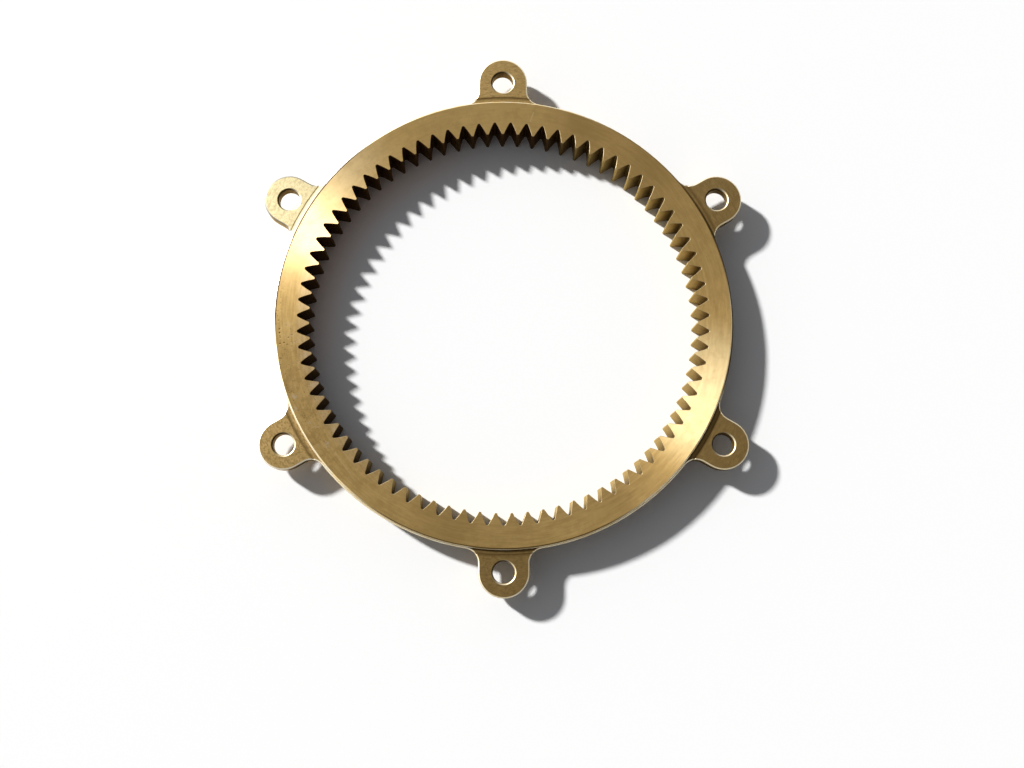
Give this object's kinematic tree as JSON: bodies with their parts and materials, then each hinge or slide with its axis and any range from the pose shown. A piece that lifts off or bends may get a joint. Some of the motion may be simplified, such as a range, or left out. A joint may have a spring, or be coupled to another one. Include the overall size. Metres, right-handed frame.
{
  "type": "internal ring gear",
  "caption": "Internal ring gear in brass: a flat rim with teeth round the bore, a raised top face and a thin flange with rounded bolt ears.",
  "frame": {"origin": "centre of the bottom face, on the gear's axis", "axes": "+Z along the gear's axis, up out of the raised face; +Y through the middle of one ear"},
  "size_m": [0.1198, 0.1364, 0.007],
  "materials": {
    "turned_brass": "turned and lightly brushed, unlacquered, slightly dulled with age"
  },
  "bodies": {
    "root": {"ring_gear": "turned_brass"}
  },
  "joints": []
}
